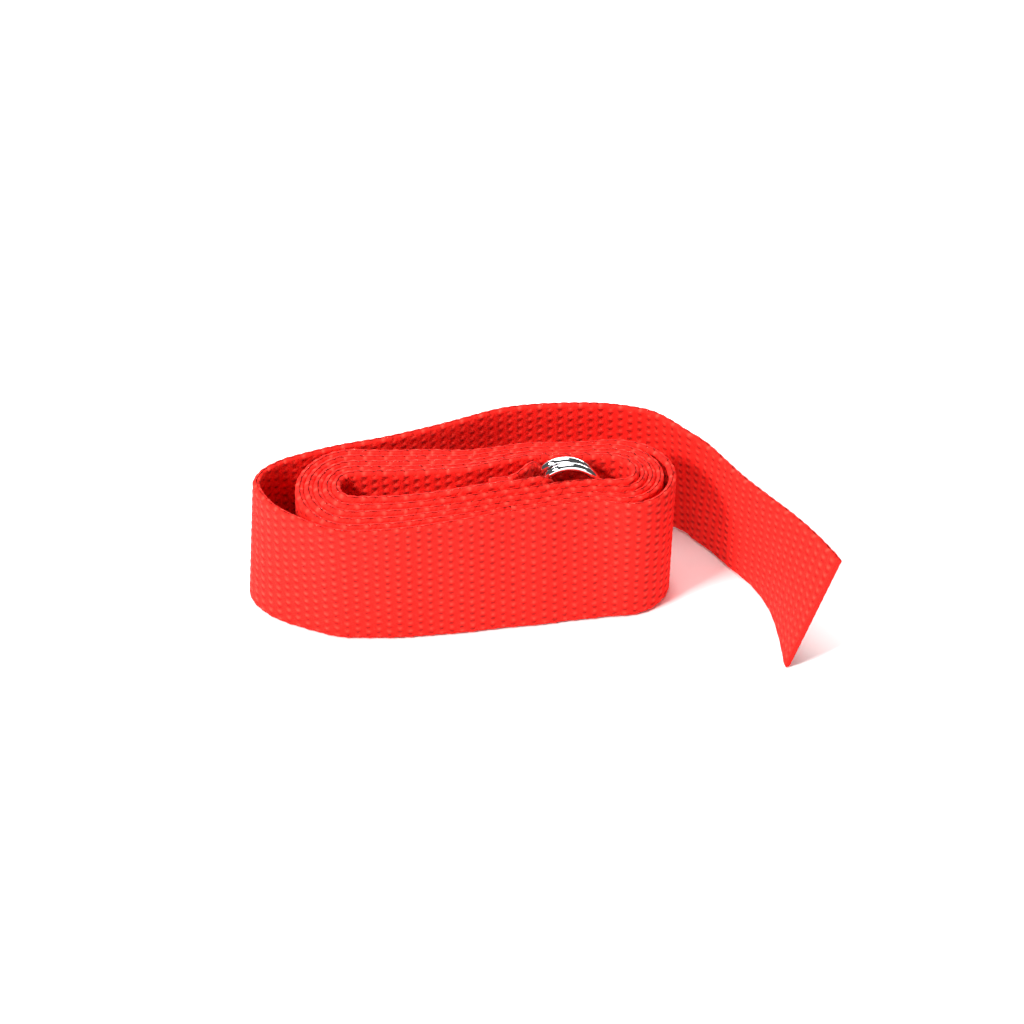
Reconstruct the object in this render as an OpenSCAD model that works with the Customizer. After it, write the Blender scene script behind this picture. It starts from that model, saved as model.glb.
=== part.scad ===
// Gait belt: one long woven strap, wound on its edge into an oblong roll, with two
// D-rings in the fold at its inner end and its outer end lying free as a tail.
// The origin is under the middle of the whole belt, on the surface that it stands on.

/* [Webbing] */
// Width of the webbing, which is the height of the roll
web_w = 38; // [30:0.5:52]
// Thickness of the webbing
web_t = 1.65; // [1.4:0.05:2.4]

/* [Roll] */
// Tight turns round the gap in the middle
turns = 5; // [3:1:6]
// Air between one turn and the next
turn_gap = 0.1; // [0.1:0.05:0.5]
// Extra air in each turn where the roll bends at its free end
end_slack = 0.6; // [0.1:0.05:0.8]
// Length of the middle gap, from the fold's seam to the end without rings
gap_len = 42; // [34:1:60]
// Width of the middle gap near the end without rings, seen from above
gap_w = 8.4; // [7:0.2:12]
// How far the loose outer turn stands off the end of the roll
loose_end = 12; // [8:0.5:16]
// Width of the thin gap inside the outer turn at the rings' end
end_crescent = 1.4; // [0:0.1:2]
// How far the outer run stands off behind the roll
back_bulge = 15.8; // [10:0.5:22]

/* [D-rings] */
// Diameter of the rings' wire
ring_wire = 2.1; // [1.8:0.1:2.6]
// Room for the webbing's edges along the straight bar, both ends together
bar_play = 0.6; // [0.4:0.1:3]
// Depth of a ring, from the middle of its bar to the middle of its bow's wire
ring_depth = 18.8; // [17:0.2:26]
// Corner radius of the wire's middle line beside the bar
ring_corner_r = 6.8; // [5:0.2:8]
// Air between the two rings' wires
ring_gap = 0.2; // [0.2:0.05:1]
// How far the front ring sits further along the fold than the back ring
ring_stagger = 1.1; // [0.8:0.1:3]
// Air between a bar and the fold round it
fold_play = 0.3; // [0.2:0.05:0.5]
// Spare air behind the fold, between it and the roll
fold_room = 0.75; // [0:0.05:1.5]
// Air between the front ring and the run in front of it
ring_room = 0.95; // [0.6:0.05:2]
// Air between the front ring's bow and the end of the roll
bow_room = 2.65; // [0.8:0.05:4]
// How far the rings' planes turn towards the back of the roll, in degrees
ring_turn = 3; // [0:0.5:5]

/* [Seam] */
// Length of the cut end that is sewn down behind the rings
seam_len = 5.2; // [4.5:0.1:9]
// Diameter of the sewing thread
thread_d = 0.5; // [0.3:0.05:0.7]
// Length of one stitch
stitch_len = 2.8; // [2:0.1:4]

/* [Tail] */
// Length of the free tail beyond the outer run
tail_len = 62; // [40:1:90]
// How far the tail's top edge leans out at its cut end
tail_lean = 11.5; // [0:0.5:13]

/* [Hidden] */
$fn = 32;

pitch = web_t + turn_gap;
half_t = web_t / 2;
hair = 0.02;

// --- D-ring outline, from its inner height and the three radii of its wire ---
ring_inner = web_w + bar_play;
ring_mid_h = ring_inner + ring_wire;
corner_rise = ring_mid_h / 2 - ring_corner_r;
bow_r = (pow(ring_depth - ring_corner_r, 2) + pow(corner_rise, 2) - pow(ring_corner_r, 2))
        / (2 * (ring_depth - 2 * ring_corner_r));
bow_x = ring_depth - bow_r;
bow_half_angle = atan2(corner_rise, ring_corner_r - bow_x);
fold_bottom = ring_wire + bar_play / 2;

// --- places of the bars and of the front ring's bow ---
bar_back = [6.6, 0.3];
bar_front = bar_back + [ring_stagger, -ring_wire - ring_gap];
bow_tip = bar_front + ring_depth * [cos(ring_turn), sin(ring_turn)];
fold_r = ring_wire / 2 + fold_play + half_t;
pocket_front = bar_front[1] - fold_r - half_t - turn_gap;
pocket_back = bar_back[1] + fold_r + half_t + turn_gap + fold_room;

// --- inner face of the roll, as if it had no turns: [x, y, extra air per turn] ---
seam_x = -1;
left = seam_x - gap_len;
half_gap = (gap_w - 1.3) / 2;
gap_front = pocket_front - 3.25;
gap_back = gap_front + 2 * half_gap;
bow_front = bow_tip[1] - ring_wire / 2 - ring_room + 0.8 * pitch;
bow_end = bow_tip[0] + ring_wire / 2 + bow_room - 0.8 * pitch;
FREE_END = [for (a = [255 : -30 : 105])
    [left + half_gap * (1 + cos(a)), gap_front + half_gap * (1 + sin(a)), end_slack]];
LOOP = concat(
    [
        [seam_x, pocket_front - 0.25, 0],
        [seam_x - 5, pocket_front - 0.95, 0.1 * end_slack],
        [seam_x - 12, gap_front + 1.4, 0.3 * end_slack],
        [seam_x - 21, gap_front + 0.5, 0.5 * end_slack],
        [left + 13.5, gap_front, 0.7 * end_slack],
        [left + 7, gap_front, 0.8 * end_slack]
    ],
    FREE_END,
    [
        [left + 7, gap_back, 0.8 * end_slack],
        [left + 13.5, gap_back, 0.7 * end_slack],
        [seam_x - 21, gap_back, 0.7 * end_slack],
        [seam_x - 10, gap_back + 0.3, 0.5 * end_slack],
        [seam_x - 2, pocket_back - 3, 0.2 * end_slack],
        [bar_back[0] - 1.3, pocket_back - 0.5 * pitch, 0],
        [bar_back[0] + 5.7, pocket_back - 0.5 * pitch, 0],
        [bow_end - 8.8, pocket_back - 0.4 * pitch, 0.1 * end_slack],
        [bow_end - 4.3, pocket_back - 0.8, 0.3 * end_slack],
        [bow_end - 1.6, bow_front + 3.8, 0.5 * end_slack],
        [bow_end - 0.1, bow_front + 2, 0.5 * end_slack],
        [bow_end - 0.05, bow_front + 0.8, 0.3 * end_slack],
        [bow_end - 0.8, bow_front, 0.1 * end_slack],
        [bow_end - 2.3, bow_front - 0.2, 0],
        [bow_end - 8.8, bow_front - 0.4, 0],
        [bar_front[0] + 4.9, bow_front - 1.3, 0],
        [bar_back[0] - 0.3, pocket_front + 0.8, 0]
    ]);
LOOP_N = len(LOOP);

// --- smooth curve through a list of points, and its direction ---
function knot(list, i, closed) =
    closed ? list[(i + len(list)) % len(list)] : list[min(max(i, 0), len(list) - 1)];
function curve(list, s, closed) =
    let (i = floor(s), f = s - i,
         a = knot(list, i - 1, closed), b = knot(list, i, closed),
         c = knot(list, i + 1, closed), d = knot(list, i + 2, closed))
    0.5 * (2 * b + (c - a) * f + (2 * a - 5 * b + 4 * c - d) * f * f
           + (3 * b - a - 3 * c + d) * f * f * f);
function flat(p) = [p[0], p[1]];
function unit(v) = v / norm(v);
function outward(v) = [-v[1], v[0]];
function direction(list, s, closed) =
    unit(flat(curve(list, s + 0.01, closed)) - flat(curve(list, s - 0.01, closed)));

// --- middle line of the strap after v turns; the last turn stands off at the rings' end ---
crescent_from = turns - 10 / LOOP_N;
crescent_to = turns - 3 / LOOP_N;
function crescent(v) = (v < crescent_from || v > crescent_to) ? 0 :
    end_crescent * (1 - cos(360 * (v - crescent_from) / (crescent_to - crescent_from))) / 2;
function turn_point(v) =
    let (s = (v - floor(v)) * LOOP_N, p = curve(LOOP, s, true))
    flat(p) + outward(direction(LOOP, s, true))
              * (half_t + v * (pitch + p[2]) + crescent(v));

// Places along a turn: close together round the two ends, further apart between them
function is_end(i) = (i >= 5 && i <= 11) || (i >= LOOP_N - 9 && i <= LOOP_N - 4);
TURN_PLACES = [for (i = [0 : LOOP_N - 1])
    let (n = is_end(i) ? 3 : 2) for (j = [0 : n - 1]) (i + j / n) / LOOP_N];
function turn_run(from, to) =
    [for (m = [floor(from) : floor(to)]) for (a = TURN_PLACES)
        if (m + a > from - 0.001 && m + a < to + 0.001) turn_point(m + a)];

// --- outer turn: it leaves the roll at the front, swings round the free end and runs back ---
coil_end = turns - 3 / LOOP_N;
lay_end = turns + 5 / LOOP_N;
front_corner = turn_point(lay_end);
end_face = turn_point(turns - 1 + 8.5 / LOOP_N);
back_corner = turn_point(turns - 1 + 12 / LOOP_N);
back_right = turn_point(turns - 1 + 19 / LOOP_N);
OUTER = [
    front_corner,
    front_corner + [-7.9, 0.4],
    front_corner + [-15.4, 3.4],
    [end_face[0] - 0.49 * loose_end, front_corner[1] + 8.2],
    [end_face[0] - 0.88 * loose_end, end_face[1] - 2.2],
    [end_face[0] - loose_end, end_face[1] + 2.6],
    [end_face[0] - 0.84 * loose_end, end_face[1] + 7.2],
    [end_face[0] - 0.5 * loose_end, end_face[1] + 10.6],
    [end_face[0] - 0.13 * loose_end, back_corner[1] - 1.4],
    back_corner + [-9, 2.4],
    back_corner + [4.1, 5.8],
    back_right + [-37.9, 0.46 * back_bulge],
    back_right + [-24, 0.82 * back_bulge],
    back_right + [-15.9, 0.94 * back_bulge],
    back_right + [-6.9, 0.99 * back_bulge],
    back_right + [2.7, back_bulge],
    back_right + [10, back_bulge - 0.9],
    back_right + [16.6, back_bulge - 2.7],
    back_right + [22, back_bulge - 6.2],
    back_right + [25.6, back_bulge - 9.2]
];
hinge = OUTER[len(OUTER) - 1];
run_end_gap = half_t + 0.3;

// --- tail: middle line from the hinge to the cut end, and how far the top edge leans ---
tail_scale = tail_len / 62;
lean_scale = tail_lean / 11.5;
function tail_row(x, y, lean_x, lean_y) =
    [hinge[0] + x * tail_scale, hinge[1] + y * tail_scale, lean_x * lean_scale, lean_y * lean_scale];
TAIL = [
    tail_row(0, 0, 0, 0),
    tail_row(3.3, -3.7, 0, -2.4),
    tail_row(7.1, -8.5, 0.2, -5),
    tail_row(12.3, -16, 0.1, -6.3),
    tail_row(17.7, -23.2, -0.1, -5.7),
    tail_row(22.5, -31.4, 1.9, -4),
    tail_row(26.4, -40.7, 6.2, -1.7),
    tail_row(29.8, -50.5, 11.5, 0.2)
];

// --- fold round both bars: out along the front, round the bars and back to the seam ---
bar_line = unit(bar_back - bar_front);
far_side = -outward(bar_line);
function round_bar(c, from, to) =
    [for (i = [0 : 4]) c + fold_r * [cos(from + (to - from) * i / 4), sin(from + (to - from) * i / 4)]];
far_angle = atan2(far_side[1], far_side[0]);
seam_front = turn_point(0);
seam_in = seam_front + [0, web_t + 0.1];
FOLD = concat(
    [seam_front + [hair, 0], seam_front + [3.2, 0.5]],
    round_bar(bar_front, -90, far_angle),
    round_bar(bar_back, far_angle, 150),
    [
        seam_in + [2.6, 2],
        seam_in + [0.2, 0.25],
        seam_in + [-seam_len * 0.5, -0.3],
        seam_in + [-seam_len, -0.6]
    ]);

// --- placing the whole belt over the origin ---
STEPS = 3;
function open_run(list, from) =
    [for (i = [0 : (len(list) - 1 - from) * STEPS]) curve(list, from + i / STEPS, false)];
outer_line = concat(turn_run(coil_end, lay_end - 0.01), open_run(OUTER, 0));
tail_line = open_run(TAIL, 0);
function side(line, i) =
    let (a = flat(line[max(i - 1, 0)]), b = flat(line[min(i + 1, len(line) - 1)]))
    outward(unit(b - a));
function lean_of(p) = len(p) > 2 ? [p[2], p[3]] : [0, 0];
function shifted(line, d, up) =
    [for (i = [0 : len(line) - 1]) flat(line[i]) + side(line, i) * d + lean_of(line[i]) * up / 2];
all_edges = concat(shifted(outer_line, half_t, 0),
                   [for (d = [-half_t, half_t]) for (up = [-1, 1]) each shifted(tail_line, d, up)]);
centre = [(min([for (p = all_edges) p[0]]) + max([for (p = all_edges) p[0]])) / 2,
          (min([for (p = all_edges) p[1]]) + max([for (p = all_edges) p[1]])) / 2];

module placed() {
    translate([-centre[0], -centre[1], 0]) children();
}

// A strap that stands upright along a line
module upright_strap(line, bottom) {
    translate([0, 0, bottom]) linear_extrude(web_w)
        polygon(concat(shifted(line, half_t, 0),
                       [for (i = [len(line) - 1 : -1 : 0])
                           flat(line[i]) - side(line, i) * half_t]));
}

// A strap that leans
module leaning_strap(line) {
    n = len(line);
    corner = [[-1, -1], [1, -1], [1, 1], [-1, 1]];
    points = [for (i = [0 : n - 1]) for (c = corner)
        let (lean = lean_of(line[i]),
             xy = flat(line[i]) + side(line, i) * c[0] * half_t + lean * c[1] / 2,
             top = sqrt(pow(web_w, 2) - lean * lean))
        [xy[0], xy[1], c[1] > 0 ? top : 0]];
    faces = concat(
        [[0, 1, 2], [0, 2, 3]],
        [for (i = [0 : n - 2]) for (j = [0 : 3])
            let (near = 4 * i + j, far = near + 4, up = 4 * i + (j + 1) % 4)
            each [[near, far, up + 4], [near, up + 4, up]]],
        [[4 * n - 1, 4 * n - 2, 4 * n - 3], [4 * n - 1, 4 * n - 3, 4 * n - 4]]);
    polyhedron(points, faces);
}

module webbing_coil() {
    color("red") placed() upright_strap(turn_run(0, coil_end), 0);
}

// Room beside a bar for the corners of its ring, where the webbing's edges give way
module corner_room(bar) {
    room_y = ring_wire / 2 + fold_play + 0.12;
    room_z = corner_rise + 1;
    translate([bar[0], bar[1], ring_mid_h / 2 + ring_wire / 2]) rotate([0, 0, ring_turn])
        for (flip = [0, 1]) mirror([0, 0, flip])
            translate([0, -room_y, room_z]) cube([ring_corner_r, 2 * room_y, web_w]);
}

module sewn_fold() {
    color("red") placed() difference() {
        upright_strap(FOLD, fold_bottom);
        corner_room(bar_back);
        corner_room(bar_front);
    }
}

module outer_wrap() {
    run = [for (p = outer_line) if (norm(flat(p) - hinge) > run_end_gap) p];
    color("red") placed() upright_strap(run, 0);
}

// The tail; its rounded edge at the start stands on the line that it swings about
module tail() {
    color("red") placed() {
        leaning_strap(tail_line);
        translate([hinge[0], hinge[1], 0]) cylinder(h = web_w, d = web_t + 0.06);
    }
}

// A bent length of the ring's wire, about the Y axis
module bent_wire(r, from, to) {
    rotate([90, 0, 0]) rotate([0, 0, from]) rotate_extrude(angle = to - from)
        translate([r, 0]) circle(d = ring_wire);
}

// One D-ring of bent wire; the bar stands on the origin's vertical line
module d_ring() {
    bead_d = ring_wire + 0.06;
    trim = 0.05;
    corner_trim = trim * 180 / (PI * ring_corner_r);
    bow_trim = trim * 180 / (PI * bow_r);
    shoulder = ring_corner_r * [1 + cos(bow_half_angle), sin(bow_half_angle)];
    translate([0, 0, ring_mid_h / 2 + ring_wire / 2]) {
        cylinder(h = 2 * (corner_rise - trim), d = ring_wire, center = true);
        translate([bow_x, 0, 0])
            bent_wire(bow_r, -bow_half_angle + bow_trim, bow_half_angle - bow_trim);
        for (flip = [0, 1]) mirror([0, 0, flip]) {
            translate([ring_corner_r, 0, corner_rise])
                bent_wire(ring_corner_r, bow_half_angle + corner_trim, 180 - corner_trim);
            translate([0, 0, corner_rise]) sphere(d = bead_d);
            translate([shoulder[0], 0, corner_rise + shoulder[1]]) sphere(d = bead_d);
        }
    }
}

module d_ring_back() {
    color("silver") placed() translate([bar_back[0], bar_back[1], 0]) rotate([0, 0, ring_turn]) d_ring();
}

module d_ring_front() {
    color("silver") placed() translate([bar_front[0], bar_front[1], 0]) rotate([0, 0, ring_turn]) d_ring();
}

// Two rows of stitches down the sewn end, on the face towards the gap
module seam_thread() {
    margin = 2;
    n = floor((web_w - 2 * margin) / (stitch_len + 0.6));
    fold_line = FOLD;
    last = len(fold_line) - 1;
    color("firebrick") placed() for (row = [last - 1, last])
        for (i = [0 : n - 1]) {
            at = fold_line[row] + [row == last ? 1 : 0, half_t + thread_d / 2 + 0.15];
            translate([at[0], at[1], fold_bottom + margin + i * (stitch_len + 0.6)])
                cylinder(h = stitch_len, d = thread_d, $fn = 16);
        }
}

webbing_coil();
sewn_fold();
outer_wrap();
tail();
d_ring_back();
d_ring_front();
seam_thread();
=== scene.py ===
"""A gait belt: red woven webbing wound on its edge round two sewn-in D-rings, with a free tail."""
import math

import bpy
import numpy as np
from bpy.props import FloatProperty, FloatVectorProperty, IntProperty, PointerProperty
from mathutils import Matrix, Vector


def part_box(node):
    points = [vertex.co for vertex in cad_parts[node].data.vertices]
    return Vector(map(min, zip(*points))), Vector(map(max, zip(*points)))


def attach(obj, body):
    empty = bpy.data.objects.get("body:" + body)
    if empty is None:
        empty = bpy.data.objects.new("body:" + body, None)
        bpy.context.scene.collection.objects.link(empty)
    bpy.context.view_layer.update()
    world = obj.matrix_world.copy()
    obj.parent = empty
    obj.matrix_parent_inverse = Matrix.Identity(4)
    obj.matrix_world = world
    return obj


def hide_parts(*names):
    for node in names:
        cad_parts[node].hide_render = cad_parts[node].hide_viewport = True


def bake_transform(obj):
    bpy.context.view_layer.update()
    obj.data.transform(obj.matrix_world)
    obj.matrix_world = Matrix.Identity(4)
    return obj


bl_info = {
    "name": "Wound Gait Belt",
    "version": (1, 0, 0),
    "blender": (4, 5, 0),
    "location": "View3D > Sidebar > Gait Belt",
    "description": "Builds a rolled gait belt of woven webbing with plated D-rings",
    "category": "Object",
}

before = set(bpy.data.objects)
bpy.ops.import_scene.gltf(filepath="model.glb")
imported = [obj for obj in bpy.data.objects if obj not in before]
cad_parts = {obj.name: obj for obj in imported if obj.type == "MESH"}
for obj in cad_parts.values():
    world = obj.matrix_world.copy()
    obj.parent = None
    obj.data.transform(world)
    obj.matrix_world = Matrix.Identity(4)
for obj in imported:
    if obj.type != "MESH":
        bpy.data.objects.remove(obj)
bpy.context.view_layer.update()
MM = 0.001


# ---------------------------------------------------------------------------
# The strap's route, in millimetres, seen from above
# ---------------------------------------------------------------------------

WIDTH = 38.0
THICK = 1.65
PITCH = 1.75
SLACK = 0.6
CENTRE = np.array([7.55668, -1.09409])
RING_WIRE = 2.1
RING_DEPTH = 18.8
RING_CORNER = 6.8
RING_HEIGHT = 40.7
RING_TURN = math.radians(3)
BAR_BACK = np.array([6.6, 0.3])
BAR_FRONT = np.array([7.7, -2.0])
FOLD_RADIUS = RING_WIRE / 2 + 0.3 + THICK / 2
FOLD_RAISE = 2.4
POCKET_FRONT = -5.1
POCKET_BACK = 4.15
GAP_FRONT = POCKET_FRONT - 3.25
HALF_GAP = 3.55
GAP_BACK = GAP_FRONT + 2 * HALF_GAP
SEAM_X = -1.0
LEFT = -43.0
TURNS = 5
SPLIT = 4.0
CRESCENT = 1.1
EDGE_RADIUS = 0.8
EDGE_DIP = 0.22
EDGE_WANDER = 0.35
CUT_TAPER = 0.72
FOLD_PINCH = 0.23
FLOOR_GAP = 0.02
BOW_TIP = BAR_FRONT + RING_DEPTH * np.array([math.cos(RING_TURN), math.sin(RING_TURN)])
BOW_FRONT = BOW_TIP[1] - RING_WIRE / 2 - 0.95 + 0.8 * PITCH
BOW_END = BOW_TIP[0] + RING_WIRE / 2 + 2.65 - 0.8 * PITCH


def free_end_row(angle, lean):
    """A row of the loop on the bend at the roll's empty end."""
    a = math.radians(angle)
    return (LEFT + HALF_GAP * (1 + math.cos(a)), GAP_FRONT + HALF_GAP * (1 + math.sin(a)), 1.0, lean)


# Columns of every strap row
LEAN, RUN, NORMAL = slice(2, 4), 7, slice(8, 10)
RAISE, PINCH, THICKNESS = 4, 5, 6
BEND_COLUMNS = (2, 3, 4, 5, 6)

# Inner face of the roll as if it had no turns: x, y, share of the end slack, lean of the outermost turn
LOOP = np.array([
    (SEAM_X, POCKET_FRONT - 0.25, 0, -1.7),
    (SEAM_X - 5, POCKET_FRONT - 0.95, 0.1, -1.0),
    (SEAM_X - 12, GAP_FRONT + 1.4, 0.3, -0.3),
    (SEAM_X - 21, GAP_FRONT + 0.5, 0.5, 0.8),
    (LEFT + 13.5, GAP_FRONT, 0.7, 1.6),
    (LEFT + 7, GAP_FRONT, 0.8, 2.2),
    free_end_row(255, 1.6),
    free_end_row(225, 0.3),
    free_end_row(195, -0.6),
    free_end_row(165, -0.9),
    free_end_row(135, -0.9),
    free_end_row(105, -0.8),
    (LEFT + 7, GAP_BACK, 0.8, -0.6),
    (LEFT + 13.5, GAP_BACK, 0.7, -0.3),
    (SEAM_X - 21, GAP_BACK, 0.7, 0),
    (SEAM_X - 10, GAP_BACK + 0.3, 0.5, 0),
    (SEAM_X - 2, POCKET_BACK - 3, 0.2, 0),
    (BAR_BACK[0] - 1.3, POCKET_BACK - 0.5 * PITCH, 0, 0),
    (BAR_BACK[0] + 5.7, POCKET_BACK - 0.5 * PITCH, 0, 0),
    (BOW_END - 8.8, POCKET_BACK - 0.4 * PITCH, 0.1, 0),
    (BOW_END - 4.3, POCKET_BACK - 0.8, 0.3, 0.1),
    (BOW_END - 1.6, BOW_FRONT + 3.8, 0.5, 0.3),
    (BOW_END - 0.1, BOW_FRONT + 2, 0.5, 0.6),
    (BOW_END - 0.05, BOW_FRONT + 0.8, 0.3, 0.8),
    (BOW_END - 0.8, BOW_FRONT, 0.1, 0.6),
    (BOW_END - 2.3, BOW_FRONT - 0.2, 0, -0.3),
    (BOW_END - 8.8, BOW_FRONT - 0.4, 0, -2.2),
    (BAR_FRONT[0] + 4.9, BOW_FRONT - 1.3, 0, -2.3),
    (BAR_BACK[0] - 0.3, POCKET_FRONT + 0.8, 0, -2.0),
])
LOOP_N = len(LOOP)


def spline(rows, s, closed):
    """The smooth curve through rows at s, a float array; returns one row for each s."""
    rows = np.asarray(rows, float)
    n = len(rows)
    i = np.floor(s).astype(int)
    f = (s - i)[:, None]
    step = (lambda k: rows[k % n]) if closed else (lambda k: rows[np.clip(k, 0, n - 1)])
    a, b, c, d = step(i - 1), step(i), step(i + 1), step(i + 2)
    return 0.5 * (2 * b + (c - a) * f + (2 * a - 5 * b + 4 * c - d) * f ** 2
                  + (3 * b - a - 3 * c + d) * f ** 3)


def left_of(direction):
    """The unit normals on the left of these directions, which is the roll's outer side."""
    unit = direction / np.linalg.norm(direction, axis=1)[:, None]
    return np.stack([-unit[:, 1], unit[:, 0]], axis=1)


def turn_rows(v):
    """Rows x, y, lean x, lean y, raise, pinch, thickness of the strap's middle line after v turns."""
    s = (v - np.floor(v)) * LOOP_N
    row = spline(LOOP, s, True)
    normal = left_of(spline(LOOP, s + 0.01, True)[:, :2] - spline(LOOP, s - 0.01, True)[:, :2])
    crescent_from, crescent_to = TURNS - 10 / LOOP_N, TURNS - 3 / LOOP_N
    share = np.clip((v - crescent_from) / (crescent_to - crescent_from), 0, 1)
    crescent = CRESCENT * (1 - np.cos(2 * np.pi * share)) / 2
    off = THICK / 2 + v * (PITCH + SLACK * row[:, 2]) + crescent
    xy = row[:, :2] + normal * off[:, None]
    lean = normal * (row[:, 3] * np.clip(0.25 + 0.15 * v, 0, 1))[:, None]
    near_rings = np.clip((xy[:, 0] + 30) / 32, 0, 1)
    near_rings = near_rings ** 2 * (3 - 2 * near_rings)
    lift = (FOLD_RAISE + 0.7) * np.exp(-0.75 * v) * (0.3 + 0.7 * near_rings) * np.clip(5.2 - v, 0, 1)
    thick = PITCH + 0.02 + 0.95 * SLACK * row[:, 2]
    return np.column_stack([xy, lean, lift, np.zeros(len(v)), thick])


def single(v):
    """The middle line's place after v turns, as one point."""
    return turn_rows(np.array([v]))[0, :2]


LAY_END = TURNS + 5 / LOOP_N
FRONT_CORNER = single(LAY_END)
END_FACE = single(TURNS - 1 + 8.5 / LOOP_N)
BACK_CORNER = single(TURNS - 1 + 12 / LOOP_N)
BACK_RIGHT = single(TURNS - 1 + 19 / LOOP_N)
LOOSE = 12.0
BULGE = 15.8
LOOSE_THICK = 2.0

# Outer run from the front corner round the empty end to the tail: x, y, lean
OUTER = [
    (*FRONT_CORNER, 2.2),
    (*(FRONT_CORNER + [-7.9, 0.4]), 1.9),
    (*(FRONT_CORNER + [-15.4, 3.4]), 1.0),
    (END_FACE[0] - 0.49 * LOOSE, FRONT_CORNER[1] + 8.2, -0.8),
    (END_FACE[0] - 0.88 * LOOSE, END_FACE[1] - 2.2, -2.3),
    (END_FACE[0] - LOOSE, END_FACE[1] + 2.6, -2.8),
    (END_FACE[0] - 0.84 * LOOSE, END_FACE[1] + 7.2, -2.6),
    (END_FACE[0] - 0.5 * LOOSE, END_FACE[1] + 10.6, -2.2),
    (END_FACE[0] - 0.13 * LOOSE, BACK_CORNER[1] - 1.4, -2.0),
    (*(BACK_CORNER + [-9, 2.4]), -1.6),
    (*(BACK_CORNER + [4.1, 5.8]), -1.0),
    (*(BACK_RIGHT + [-37.9, 0.46 * BULGE]), -0.3),
    (*(BACK_RIGHT + [-24, 0.82 * BULGE]), 0),
    (*(BACK_RIGHT + [-15.9, 0.94 * BULGE]), 0),
    (*(BACK_RIGHT + [-6.9, 0.99 * BULGE]), 0),
    (*(BACK_RIGHT + [2.7, BULGE]), -0.3),
    (*(BACK_RIGHT + [10, BULGE - 0.9]), -0.8),
    (*(BACK_RIGHT + [16.6, BULGE - 2.7]), -1.6),
    (*(BACK_RIGHT + [22, BULGE - 6.2]), -2.8),
    (*(BACK_RIGHT + [25.6, BULGE - 9.2]), -4.0),
]
HINGE = np.array(OUTER[-1][:2])

# Tail from the hinge to its cut end: x, y, and how far the top edge leans in x and in y
TAIL = np.array([
    (0, 0, 0, 0),
    (3.3, -3.7, 1.0, -5.2),
    (7.1, -8.5, 0.6, -6.3),
    (12.3, -16, 0.1, -6.3),
    (17.7, -23.2, -0.1, -5.7),
    (22.5, -31.4, 1.9, -4),
    (26.4, -40.7, 6.2, -1.7),
    (29.8, -50.5, 11.5, 0.2),
])


def outer_rows():
    """Dense rows of the outer run, from the front corner to the hinge."""
    s = np.linspace(0, len(OUTER) - 1, 600)
    row = spline(OUTER, s, False)
    normal = left_of(spline(OUTER, s + 0.01, False)[:, :2] - spline(OUTER, s - 0.01, False)[:, :2])
    flat = np.zeros((len(s), 2))
    return np.column_stack([row[:, :2], normal * row[:, 2:3], flat, np.full(len(s), LOOSE_THICK)])


def tail_rows():
    """Dense rows of the tail, from the hinge to the cut end."""
    rows = TAIL.copy()
    last = outer_rows()[-1]
    rows[:, :2] += HINGE
    rows[0, 2:4] = last[2:4]
    s = np.linspace(0, len(rows) - 1, 200)
    row = spline(rows, s, False)
    return np.column_stack([row, np.zeros((len(s), 2)), np.full(len(s), LOOSE_THICK)])


def fold_rows():
    """Dense rows of the sewn end: from its cut end, round both bars, to the first turn."""
    across = (BAR_BACK - BAR_FRONT) / np.linalg.norm(BAR_BACK - BAR_FRONT)
    far = math.degrees(math.atan2(-across[0], across[1]))

    def round_bar(bar, a0, a1):
        angles = np.radians(np.linspace(a0, a1, 7))
        return [(*(bar + FOLD_RADIUS * np.array([math.cos(a), math.sin(a)])), 1.0) for a in angles]

    seam = single(0.0)
    inner = seam + [0, THICK + 0.1]
    route = [(*seam, 0.0), (*(seam + [3.2, 0.5]), 0.0)]
    front = round_bar(BAR_FRONT, -90, far)
    back = round_bar(BAR_BACK, far, 150)
    for k, row in enumerate(front):
        route.append((row[0], row[1], min(1.0, max(0.0, (k - 2) / 3))))
    for k, row in enumerate(back):
        route.append((row[0], row[1], max(0.0, 1 - k / 4)))
    route += [(*(inner + [2.6, 2]), 0.0), (*(inner + [0.2, 0.25]), 0.0),
              (*(inner + [-2.6, -0.3]), 0.0), (*(inner + [-5.2, -0.6]), 0.0)]
    route = np.array(route[::-1])
    s = np.linspace(0, len(route) - 1, 500)
    row = spline(route, s, False)
    n = len(s)
    return np.column_stack([row[:, :2], np.zeros((n, 2)), np.full(n, FOLD_RAISE + 0.5),
                            np.clip(row[:, 2], 0, 1), np.full(n, THICK)])


def evenly(rows, step):
    """Rows placed an equal distance apart along the line, with the distance run as a last column."""
    run = np.concatenate([[0], np.cumsum(np.linalg.norm(np.diff(rows[:, :2], axis=0), axis=1))])
    keep = np.concatenate([[True], np.diff(run) > 1e-6])
    run, rows = run[keep], rows[keep]
    at = np.linspace(0, run[-1], max(2, round(run[-1] / step)) + 1)
    return np.column_stack([np.interp(at, run, rows[:, k]) for k in range(rows.shape[1])] + [at])


def soften(rows, reach, columns):
    """Averages some columns along the line, keeping both ends."""
    out = rows.copy()
    weights = np.hanning(2 * reach + 3)[1:-1]
    weights /= weights.sum()
    for k in columns:
        padded = np.concatenate([np.full(reach, rows[0, k]), rows[:, k], np.full(reach, rows[-1, k])])
        out[:, k] = np.convolve(padded, weights, "valid")
    return out


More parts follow.
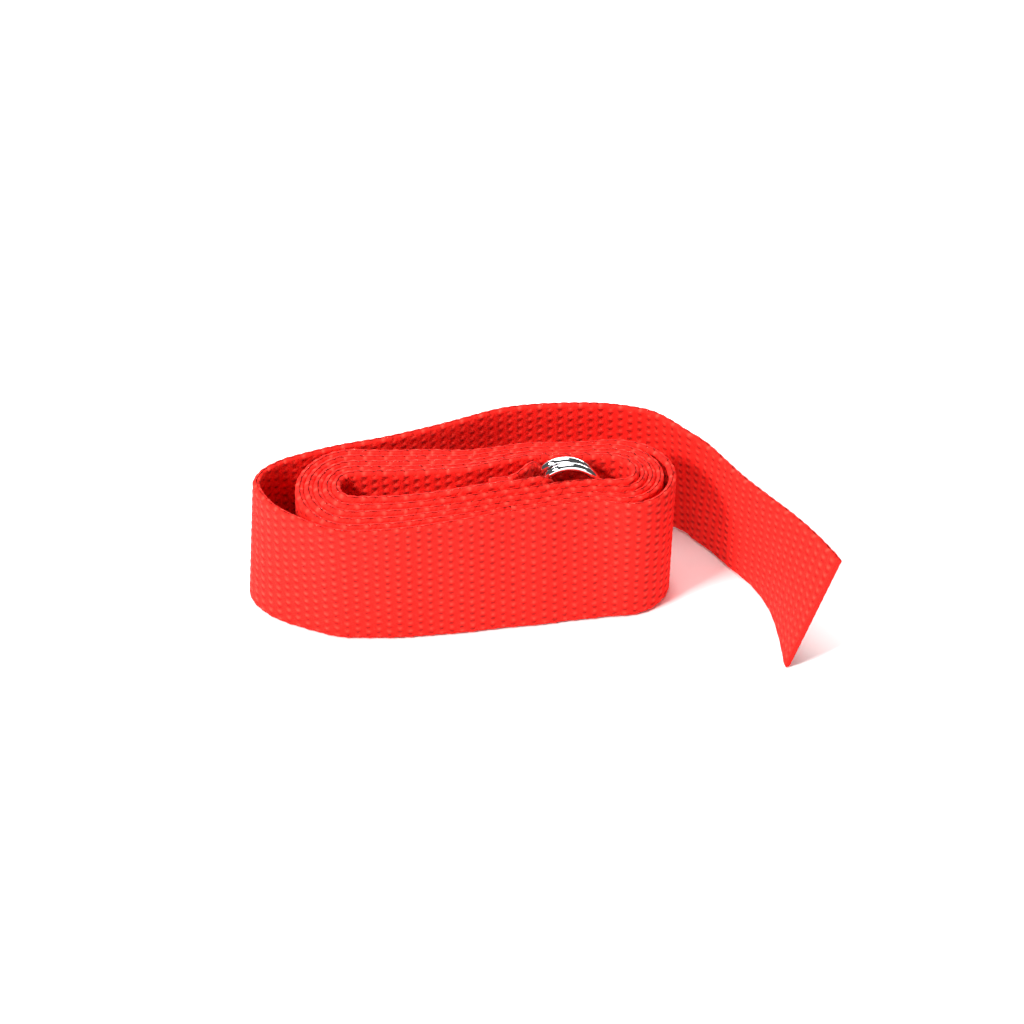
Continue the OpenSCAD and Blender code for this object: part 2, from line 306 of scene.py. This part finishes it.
def strap_rows(step):
    """The whole strap's rows from its sewn end to its cut end, and the row where the outer piece starts."""
    fold = fold_rows()[:-1]
    wound = turn_rows(np.linspace(0, SPLIT, 4000))
    rest = np.vstack([turn_rows(np.linspace(SPLIT, LAY_END, 1200))[1:-1], outer_rows(), tail_rows()[1:]])
    inner = np.vstack([fold, wound])
    inner_run = np.linalg.norm(np.diff(inner[:, :2], axis=0), axis=1).sum()
    rows = evenly(np.vstack([inner, rest]), step)
    rows = soften(rows, 2, (0, 1))
    rows = soften(rows, 5, BEND_COLUMNS)
    normal = left_of(np.gradient(rows[:, :2], axis=0))
    return np.column_stack([rows, normal]), int(np.argmin(abs(rows[:, RUN] - inner_run)))


# ---------------------------------------------------------------------------
# The weave, in numbers that both the mesh and the material use
# ---------------------------------------------------------------------------

def weave_height(u, v, rib, row):
    """Height of the woven face from 0 to 1, u along the strap and v across it, in millimetres."""
    column = np.floor(u / rib)
    fu = u / rib - column
    fv = v / row + np.mod(column, 2) * 0.4 - 0.9 * (fu - 0.5) ** 2
    band = 0.5 - 0.5 * np.cos(2 * np.pi * fu)
    knot = 0.5 - 0.5 * np.cos(2 * np.pi * fv)
    dash = (1 - knot) ** 3
    return 0.4 + 0.6 * band * knot - 0.35 * band * dash


def across_width(fine):
    """Places across the webbing, 0 at one selvedge and WIDTH at the other."""
    edge = [0.0, 0.08, 0.22, 0.45, EDGE_RADIUS]
    if fine:
        middle = list(np.linspace(1.6, WIDTH - 1.6, 54))
    else:
        middle = [1.6, 2.6, 4.0, 6.5, 10, 14, 19, 24, 28, 31.5, 34, 35.4, 36.4]
    return np.array(edge + middle + [WIDTH - e for e in edge[::-1]])


def strap_mesh(name, rows, fine, settings, cut_start=False, cut_end=False):
    """A closed strap mesh along rows that are evenly spaced and carry their run and their normals."""
    n = len(rows)
    run, normal = rows[:, RUN], rows[:, NORMAL]
    rib, row_pitch = settings.rib_pitch / MM, settings.row_pitch / MM
    relief = settings.relief / MM
    half = rows[:, THICKNESS, None] / 2 - relief
    v = across_width(fine)
    m = len(v)
    lean, lift, pinch = rows[:, LEAN], rows[:, RAISE], rows[:, PINCH]
    height = np.sqrt(WIDTH ** 2 - (lean ** 2).sum(axis=1))
    from_edge = np.minimum(v, WIDTH - v)
    rounding = np.sqrt(np.clip(1 - (1 - np.clip(from_edge / EDGE_RADIUS, 0, 1)) ** 2, 0, 1))
    taper = np.ones(n)
    if cut_start:
        taper *= CUT_TAPER + (1 - CUT_TAPER) * np.clip(np.arange(n) / 3, 0, 1)
    if cut_end:
        taper *= CUT_TAPER + (1 - CUT_TAPER) * np.clip((n - 1 - np.arange(n)) / 3, 0, 1)
    rng = np.random.default_rng(7)
    wander = soften(rng.normal(0, 1, (n, 2)), 24, (0, 1)) * EDGE_WANDER
    scallop = np.sin(np.pi * (run / rib - np.floor(run / rib))) ** 0.8
    verts, coords = [], []
    for side in (1, -1):
        vv = v if side == 1 else v[::-1]
        rr = rounding if side == 1 else rounding[::-1]
        vv_g, run_g = np.meshgrid(vv, run)
        phase = 0 if side == 1 else rib / 2
        bump = weave_height(run_g + phase, vv_g, rib, row_pitch) if fine else 0.75
        thick = side * rr[None, :] * taper[:, None] * (half + relief * bump)
        share = vv_g / WIDTH - 0.5
        squeezed = share * (1 - FOLD_PINCH * pinch[:, None])
        edge_in = np.where(np.abs(share) > 0.47, (1 - scallop[:, None]) * EDGE_DIP * np.sign(share), 0)
        z = lift[:, None] + (squeezed + 0.5) * height[:, None] - edge_in + wander[:, :1] * (share + 0.5)
        z = np.maximum(z, FLOOR_GAP)
        x = rows[:, None, 0] + normal[:, None, 0] * thick + lean[:, None, 0] * share
        y = rows[:, None, 1] + normal[:, None, 1] * thick + lean[:, None, 1] * share
        verts.append(np.stack([x - CENTRE[0], y - CENTRE[1], z], axis=2))
        coords.append(np.stack([run_g + phase, vv_g], axis=2))
    ring = np.concatenate(verts, axis=1)
    uv = np.concatenate(coords, axis=1)
    count = ring.shape[1]
    points = (ring.reshape(-1, 3) * MM).tolist()
    index = np.arange(n * count).reshape(n, count)
    nxt = np.roll(index, -1, axis=1)
    quads = np.stack([index[:-1], index[1:], nxt[1:], nxt[:-1]], axis=2).reshape(-1, 4)
    faces = quads.tolist()
    caps = []
    for at, flip in ((0, False), (n - 1, True)):
        loop = index[at]
        for k in range(m - 1):
            quad = [loop[k], loop[k + 1], loop[count - 2 - k], loop[count - 1 - k]]
            caps.append([int(q) for q in (quad[::-1] if flip else quad)])
    faces += caps
    mesh = bpy.data.meshes.new(name)
    mesh.from_pydata(points, [], faces)
    layer = mesh.uv_layers.new(name="Weave")
    corners = np.empty(len(mesh.loops), dtype=np.int32)
    mesh.loops.foreach_get("vertex_index", corners)
    flat = uv.reshape(-1, 2)[corners]
    layer.data.foreach_set("uv", flat.astype(np.float32).ravel())
    smooth = np.ones(len(mesh.polygons), dtype=bool)
    smooth[-len(caps):] = False
    mesh.polygons.foreach_set("use_smooth", smooth)
    mesh.validate()
    mesh.update()
    piece = bpy.data.objects.new(name, mesh)
    bpy.context.collection.objects.link(piece)
    return piece


# ---------------------------------------------------------------------------
# Materials
# ---------------------------------------------------------------------------

class Channel:
    """A shader socket that adds Math nodes when it is used in an expression."""

    def __init__(self, recipe, socket):
        self.recipe, self.socket = recipe, socket

    def _math(self, operation, *values):
        return self.recipe.node("ShaderNodeMath", {"operation": operation}, dict(enumerate(values)))

    def __add__(self, other):
        return self._math("ADD", self, other)

    __radd__ = __add__

    def __sub__(self, other):
        return self._math("SUBTRACT", self, other)

    def __rsub__(self, other):
        return self._math("SUBTRACT", other, self)

    def __mul__(self, other):
        return self._math("MULTIPLY", self, other)

    __rmul__ = __mul__

    def __truediv__(self, other):
        return self._math("DIVIDE", self, other)

    def __pow__(self, other):
        return self._math("POWER", self, other)

    def __mod__(self, other):
        return self._math("FLOORED_MODULO", self, other)

    def floor(self):
        return self._math("FLOOR", self)

    def sine(self):
        return self._math("SINE", self)


class Recipe:
    """A material's node tree with one way to add a node."""

    def __init__(self, name):
        self.material = bpy.data.materials.new(name)
        self.material.use_nodes = True
        self.tree = self.material.node_tree
        self.tree.nodes.clear()
        self.shader = self.tree.nodes.new("ShaderNodeBsdfPrincipled")
        output = self.tree.nodes.new("ShaderNodeOutputMaterial")
        self.tree.links.new(self.shader.outputs["BSDF"], output.inputs["Surface"])

    def _give(self, node, key, value):
        socket = node.inputs[key]
        if isinstance(value, Channel):
            self.tree.links.new(value.socket, socket)
        else:
            socket.default_value = value

    def node(self, kind, settings, values, output=0):
        made = self.tree.nodes.new(kind)
        for key, value in settings.items():
            setattr(made, key, value)
        for key, value in values.items():
            self._give(made, key, value)
        return Channel(self, made.outputs[output])

    def mix(self, factor, first, second):
        return self.node("ShaderNodeMix", {"data_type": "RGBA"}, {0: factor, 6: first, 7: second}, output=2)

    def surface(self, **values):
        for key, value in values.items():
            self._give(self.shader, key.replace("_", " "), value)
        return self.material


def rgb(colour):
    """A colour with its alpha, as shader sockets take it."""
    return (*colour, 1.0)


def webbing_material(settings):
    """Woven webbing: columns of rounded knots with painted highlights on their tops and painted short
    shadows below them, and fine fibre.
    """
    recipe = Recipe("red_webbing")
    place = recipe.node("ShaderNodeUVMap", {"uv_map": "Weave"}, {})
    u = recipe.node("ShaderNodeSeparateXYZ", {}, {0: place}, output=0)
    v = recipe.node("ShaderNodeSeparateXYZ", {}, {0: place}, output=1)
    wobble = recipe.node("ShaderNodeTexNoise", {"noise_dimensions": "2D"},
                         {"Vector": place, "Scale": 0.45, "Detail": 2.0})
    shift = (wobble - 0.5) * 0.9
    column = (u + shift * 0.35) / (settings.rib_pitch / MM)
    place_in_rib = column % 1.0
    odd = column.floor() % 2.0
    bend = (place_in_rib - 0.5) ** 2.0 * 0.9
    place_in_row = (v + shift * 0.6) / (settings.row_pitch / MM) + odd * 0.4 - bend
    band = 0.5 - 0.5 * (place_in_rib * (2 * math.pi) + math.pi / 2).sine()
    knot = 0.5 + 0.5 * (place_in_row * (2 * math.pi) - math.pi / 2).sine()
    # dash: a painted short shadow below each knot; it also dents the relief
    dash = (1.0 - knot) ** 3.5 * band
    # spot: the knots' tops, where a painted highlight is mixed in; it also raises the relief and lowers the
    # roughness
    spot = (knot * band) ** 2.0
    ply = 0.5 + 0.5 * ((v * 3.1 + u * 2.2) * 2.4).sine()
    fibre = recipe.node("ShaderNodeTexNoise", {"noise_dimensions": "2D"},
                        {"Vector": place, "Scale": 2.6, "Detail": 3.0, "Roughness": 0.65})
    blotch = recipe.node("ShaderNodeTexNoise", {"noise_dimensions": "2D"},
                         {"Vector": place, "Scale": 0.07, "Detail": 2.0})
    # shade: the painted shadow dashes darken the yarn towards the groove shade colour and the knot spots
    # lighten it, with a faint ply stripe and random fibre
    shade = 0.72 + spot * 0.2 + ply * 0.05 + fibre * 0.34 - dash * (0.6 + fibre * 0.5)
    tone = recipe.mix(shade, rgb(settings.groove_shade_colour), rgb(settings.yarn_colour))
    # painted highlight: the knot tops and some random fibre turn towards the crown highlight colour
    light = recipe.mix(spot * 0.95 + (fibre - 0.45) * 0.5, tone, rgb(settings.crown_highlight_colour))
    worn = recipe.mix((blotch - 0.35) * 0.3, light, rgb(settings.yarn_colour))
    relief = spot * 0.8 + ply * 0.1 + fibre * 0.4 - dash * 0.7
    bump = recipe.node("ShaderNodeBump", {},
                       {"Strength": settings.bump, "Distance": 0.00045, "Height": relief})
    material = recipe.surface(Base_Color=worn, Roughness=0.9 - spot * 0.12, Normal=bump)
    recipe.shader.inputs["Specular IOR Level"].default_value = 0.25
    recipe.shader.inputs["Sheen Weight"].default_value = 0.05
    recipe.shader.inputs["Sheen Roughness"].default_value = 0.5
    recipe.shader.inputs["Sheen Tint"].default_value = rgb(settings.crown_highlight_colour)
    return material


def plated_material(settings):
    """Bright plated wire with faint drawing marks and a few dull patches."""
    recipe = Recipe("plated_wire")
    place = recipe.node("ShaderNodeTexCoord", {}, {}, output=3)
    patches = recipe.node("ShaderNodeTexNoise", {}, {"Vector": place, "Scale": 160.0, "Detail": 3.0})
    marks = recipe.node("ShaderNodeTexNoise", {}, {"Vector": place, "Scale": 900.0, "Detail": 2.0})
    colour = recipe.mix(patches, rgb(settings.plate_colour), (0.8, 0.8, 0.82, 1.0))
    bump = recipe.node("ShaderNodeBump", {}, {"Strength": 0.02, "Distance": 0.00002, "Height": marks})
    return recipe.surface(Base_Color=colour, Metallic=1.0, Roughness=0.03 + patches * 0.06, Normal=bump)


def thread_material(settings):
    """Twisted sewing thread."""
    recipe = Recipe("sewing_thread")
    place = recipe.node("ShaderNodeTexCoord", {}, {}, output=3)
    z = recipe.node("ShaderNodeSeparateXYZ", {}, {0: place}, output=2)
    x = recipe.node("ShaderNodeSeparateXYZ", {}, {0: place}, output=0)
    twist = 0.5 + 0.5 * ((z + x) * 9000.0).sine()
    fuzz = recipe.node("ShaderNodeTexNoise", {}, {"Vector": place, "Scale": 2500.0, "Detail": 2.0})
    # painted shade and highlight: the twist stripes run from dark in the grooves between plies to bright on
    # their crowns, with random fuzz
    colour = recipe.mix(twist * 0.6 + fuzz * 0.4, rgb(settings.groove_shade_colour), rgb(settings.crown_highlight_colour))
    bump = recipe.node("ShaderNodeBump", {}, {"Strength": 0.5, "Distance": 0.0001, "Height": twist})
    return recipe.surface(Base_Color=colour, Roughness=0.75 + fuzz * 0.1, Normal=bump)


def floor_material(settings):
    """A plain pale sweep."""
    recipe = Recipe("pale_floor")
    place = recipe.node("ShaderNodeTexCoord", {}, {}, output=3)
    grain = recipe.node("ShaderNodeTexNoise", {}, {"Vector": place, "Scale": 4.0, "Detail": 2.0})
    colour = recipe.mix(grain, rgb(settings.floor_colour), (0.95, 0.945, 0.94, 1.0))
    return recipe.surface(Base_Color=colour, Roughness=0.8)


# ---------------------------------------------------------------------------
# Sizes and colours that a user would change
# ---------------------------------------------------------------------------

class BeltWebbing(bpy.types.PropertyGroup):
    rib_pitch: FloatProperty(name="Rib pitch", description="Distance from rib to rib along the strap",
                             default=2.66 * MM, unit="LENGTH")
    row_pitch: FloatProperty(name="Row pitch", description="Distance from knot to knot across the strap",
                             default=2.62 * MM, unit="LENGTH")
    relief: FloatProperty(name="Relief", description="How far a knot stands out of each face",
                          default=0.2 * MM, unit="LENGTH")
    bump: FloatProperty(name="Yarn relief", description="Strength of the yarns' own relief", default=0.95)
    yarn_colour: FloatVectorProperty(name="Yarn", description="Colour of the yarn", subtype="COLOR",
                                     default=(0.93, 0.0115, 0.006))
    # painted shade between the knots and in the short shadows below them; also the dark side of the thread's
    # twist
    groove_shade_colour: FloatVectorProperty(name="Groove", description="Colour between the knots",
                                       subtype="COLOR", default=(0.34, 0.002, 0.0015))
    # painted highlight on top of the knots; also the sheen's tint and the bright side of the thread's twist
    crown_highlight_colour: FloatVectorProperty(name="Crown", description="Colour on top of the knots",
                                      subtype="COLOR", default=(1.0, 0.05, 0.03))


class BeltRings(bpy.types.PropertyGroup):
    wire: FloatProperty(name="Wire", description="Diameter of the rings' wire",
                        default=RING_WIRE * MM, unit="LENGTH")
    steps: IntProperty(name="Steps", description="Sides of the wire", default=28)
    plate_colour: FloatVectorProperty(name="Plating", description="Colour of the plating",
                                      subtype="COLOR", default=(0.93, 0.93, 0.94))


class BeltStage(bpy.types.PropertyGroup):
    lens: FloatProperty(name="Lens", description="Focal length of the camera", default=118.65)
    distance: FloatProperty(name="Distance", description="Camera to target", default=0.9, unit="LENGTH")
    elevation: FloatProperty(name="Elevation", description="Camera's angle above the floor",
                             default=math.radians(41), subtype="ANGLE")
    floor_colour: FloatVectorProperty(name="Floor", description="Colour of the floor",
                                      subtype="COLOR", default=(0.97, 0.965, 0.96))


# ---------------------------------------------------------------------------
# Operators
# ---------------------------------------------------------------------------


class BELT_OT_strap(bpy.types.Operator):
    """Builds the woven strap: its wound turns, and its outer run with the free tail"""

    bl_idname = "belt.strap"
    bl_label = "Webbing strap"

    def execute(self, context):
        settings = context.scene.belt_webbing
        material = webbing_material(settings)
        rows, at = strap_rows(settings.rib_pitch / MM / 4)
        wound = strap_mesh("wound_turns", rows[:at + 1], False, settings, cut_start=True)
        free = strap_mesh("outer_run_and_tail", rows[at:], True, settings, cut_end=True)
        for piece in (wound, free):
            piece.data.materials.append(material)
        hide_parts("webbing_coil", "sewn_fold")
        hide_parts("outer_wrap", "tail")
        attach(wound, "roll")
        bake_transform(free)
        return {"FINISHED"}


def ring_path():
    """Middle line of a D-ring's wire from its bar's middle, as x along the depth and z, in millimetres."""
    rise = RING_HEIGHT / 2 - RING_CORNER
    radius = ((RING_DEPTH - RING_CORNER) ** 2 + rise ** 2 - RING_CORNER ** 2) \
        / (2 * (RING_DEPTH - 2 * RING_CORNER))
    bow_x = RING_DEPTH - radius
    half = math.atan2(rise, RING_CORNER - bow_x)
    path = [(0.0, z) for z in np.linspace(0, rise, 10)[:-1]]
    path += [(RING_CORNER + RING_CORNER * math.cos(a), rise + RING_CORNER * math.sin(a))
             for a in np.linspace(math.pi, half, 22)[:-1]]
    path += [(bow_x + radius * math.cos(a), radius * math.sin(a)) for a in np.linspace(half, 0, 16)]
    path += [(x, -z) for x, z in path[-2:0:-1]]
    return np.array(path)


class BELT_OT_rings(bpy.types.Operator):
    """Builds the two plated D-rings"""

    bl_idname = "belt.rings"
    bl_label = "D-rings"

    def execute(self, context):
        settings = context.scene.belt_rings
        material = plated_material(settings)
        path = ring_path()
        tangent = np.roll(path, -1, axis=0) - np.roll(path, 1, axis=0)
        tangent /= np.linalg.norm(tangent, axis=1)[:, None]
        side = np.stack([-tangent[:, 1], tangent[:, 0]], axis=1)
        r = settings.wire / MM / 2
        sides = settings.steps
        for name, node, body, bar in (("ring_back", "d_ring_back", "ring_back", BAR_BACK),
                                      ("ring_front", "d_ring_front", "ring_front", BAR_FRONT)):
            verts = []
            for (x, z), (nx, nz) in zip(path, side):
                for k in range(sides):
                    a = 2 * math.pi * k / sides
                    px, py = x + nx * r * math.cos(a), r * math.sin(a)
                    pz = z + nz * r * math.cos(a) + RING_HEIGHT / 2 + RING_WIRE / 2
                    qx = px * math.cos(RING_TURN) - py * math.sin(RING_TURN)
                    qy = px * math.sin(RING_TURN) + py * math.cos(RING_TURN)
                    verts.append(((qx + bar[0] - CENTRE[0]) * MM, (qy + bar[1] - CENTRE[1]) * MM, pz * MM))
            n = len(path)
            faces = [(i * sides + k, i * sides + (k + 1) % sides,
                      (i + 1) % n * sides + (k + 1) % sides, (i + 1) % n * sides + k)
                     for i in range(n) for k in range(sides)]
            mesh = bpy.data.meshes.new(name)
            mesh.from_pydata(verts, [], faces)
            mesh.polygons.foreach_set("use_smooth", np.ones(len(faces), dtype=bool))
            mesh.update()
            ring = bpy.data.objects.new(name, mesh)
            context.collection.objects.link(ring)
            mesh.materials.append(material)
            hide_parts(node)
            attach(ring, body)
        return {"FINISHED"}


class BELT_OT_stitches(bpy.types.Operator):
    """Builds the rows of stitches that hold the fold shut"""

    bl_idname = "belt.stitches"
    bl_label = "Seam stitches"

    def execute(self, context):
        low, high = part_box("seam_thread")
        material = thread_material(context.scene.belt_webbing)
        radius = 0.25 * MM
        count, length = 10, 2.8 * MM
        gap = ((high[2] - low[2]) - count * length) / (count - 1)
        sides, rings = 10, 9
        verts, faces = [], []
        for x, y in ((low[0] + radius, low[1] + radius), (high[0] - radius, high[1] - radius)):
            for i in range(count):
                base = len(verts)
                z0 = low[2] + i * (length + gap)
                for j in range(rings):
                    t = j / (rings - 1)
                    dip = 0.45 * radius * (2 * t - 1) ** 4
                    r = radius * (1 - 0.55 * abs(2 * t - 1) ** 5)
                    for k in range(sides):
                        a = 2 * math.pi * k / sides
                        verts.append((x + r * math.cos(a), y - dip + r * math.sin(a), z0 + t * length))
                faces += [(base + j * sides + k, base + j * sides + (k + 1) % sides,
                           base + (j + 1) * sides + (k + 1) % sides, base + (j + 1) * sides + k)
                          for j in range(rings - 1) for k in range(sides)]
                faces.append(tuple(base + k for k in reversed(range(sides))))
                faces.append(tuple(base + (rings - 1) * sides + k for k in range(sides)))
        mesh = bpy.data.meshes.new("seam_stitches")
        mesh.from_pydata(verts, [], faces)
        mesh.polygons.foreach_set("use_smooth", np.ones(len(faces), dtype=bool))
        mesh.update()
        stitches = bpy.data.objects.new("seam_stitches", mesh)
        context.collection.objects.link(stitches)
        mesh.materials.append(material)
        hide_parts("seam_thread")
        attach(stitches, "roll")
        return {"FINISHED"}


class BELT_OT_stage(bpy.types.Operator):
    """Sets the pale floor, the lights and the camera"""

    bl_idname = "belt.stage"
    bl_label = "Stage"

    def execute(self, context):
        settings = context.scene.belt_stage
        scene = context.scene
        target = Vector((-CENTRE[0], 29.0 - CENTRE[1], 0)) * MM

        mesh = bpy.data.meshes.new("floor")
        half, n = 3.0, 12
        grid = np.linspace(-half, half, n + 1)
        verts = [(x, y, -0.0002) for y in grid for x in grid]
        faces = [(j * (n + 1) + i, j * (n + 1) + i + 1, (j + 1) * (n + 1) + i + 1, (j + 1) * (n + 1) + i)
                 for j in range(n) for i in range(n)]
        mesh.from_pydata(verts, [], faces)
        floor = bpy.data.objects.new("floor", mesh)
        context.collection.objects.link(floor)
        mesh.materials.append(floor_material(settings))

        world = bpy.data.worlds.new("soft_room")
        world.use_nodes = True
        background = world.node_tree.nodes["Background"]
        background.inputs["Color"].default_value = (1.0, 1.0, 1.0, 1.0)
        background.inputs["Strength"].default_value = 0.09
        scene.world = world

        for name, place, aim, size, power in (
                ("key", (-0.9, -0.62, 0.95), (0, 0, 0.02), (0.3, 0.3), 27.0),
                ("back_panel", (0.1, 1.5, 0.6), (0, 0, 0.05), (2.6, 0.45), 28.0),
                ("front_panel", (0.3, -1.7, 0.5), (0, 0, 0.02), (2.4, 0.3), 9.0),
                ("top", (-0.2, 0.25, 1.4), (0, 0, 0), (0.9, 0.9), 20.0)):
            data = bpy.data.lights.new(name, "AREA")
            data.shape, data.size, data.size_y, data.energy = "RECTANGLE", size[0], size[1], power
            lamp = bpy.data.objects.new(name, data)
            lamp.location = place
            lamp.rotation_euler = (Vector(aim) - Vector(place)).to_track_quat("-Z", "Y").to_euler()
            context.collection.objects.link(lamp)

        data = bpy.data.cameras.new("camera")
        data.sensor_width, data.lens = 36.0, settings.lens
        data.clip_start, data.clip_end = 0.01, 20.0
        camera = bpy.data.objects.new("camera", data)
        camera.location = target + Vector((0, -math.cos(settings.elevation), math.sin(settings.elevation))) \
            * settings.distance
        camera.rotation_euler = (math.pi / 2 - settings.elevation, 0, 0)
        context.collection.objects.link(camera)
        scene.camera = camera
        scene.view_settings.view_transform = "Standard"
        return {"FINISHED"}


class BELT_PT_panel(bpy.types.Panel):
    """Lists the belt's pieces"""

    bl_idname = "BELT_PT_panel"
    bl_label = "Gait Belt"
    bl_space_type = "VIEW_3D"
    bl_region_type = "UI"
    bl_category = "Gait Belt"

    def draw(self, context):
        scene = context.scene
        for group, operator in ((scene.belt_webbing, BELT_OT_strap), (scene.belt_rings, BELT_OT_rings),
                                (None, BELT_OT_stitches), (scene.belt_stage, BELT_OT_stage)):
            box = self.layout.box()
            if group is not None:
                for key in group.__annotations__:
                    box.prop(group, key)
            box.operator(operator.bl_idname)


CLASSES = (BeltWebbing, BeltRings, BeltStage, BELT_OT_strap, BELT_OT_rings, BELT_OT_stitches,
           BELT_OT_stage, BELT_PT_panel)


def register():
    for cls in CLASSES:
        bpy.utils.register_class(cls)
    bpy.types.Scene.belt_webbing = PointerProperty(type=BeltWebbing)
    bpy.types.Scene.belt_rings = PointerProperty(type=BeltRings)
    bpy.types.Scene.belt_stage = PointerProperty(type=BeltStage)


def unregister():
    del bpy.types.Scene.belt_stage
    del bpy.types.Scene.belt_rings
    del bpy.types.Scene.belt_webbing
    for cls in reversed(CLASSES):
        bpy.utils.unregister_class(cls)


def main():
    register()
    bpy.ops.belt.stage()
    bpy.ops.belt.strap()
    bpy.ops.belt.rings()
    bpy.ops.belt.stitches()


if __name__ == "__main__":
    main()
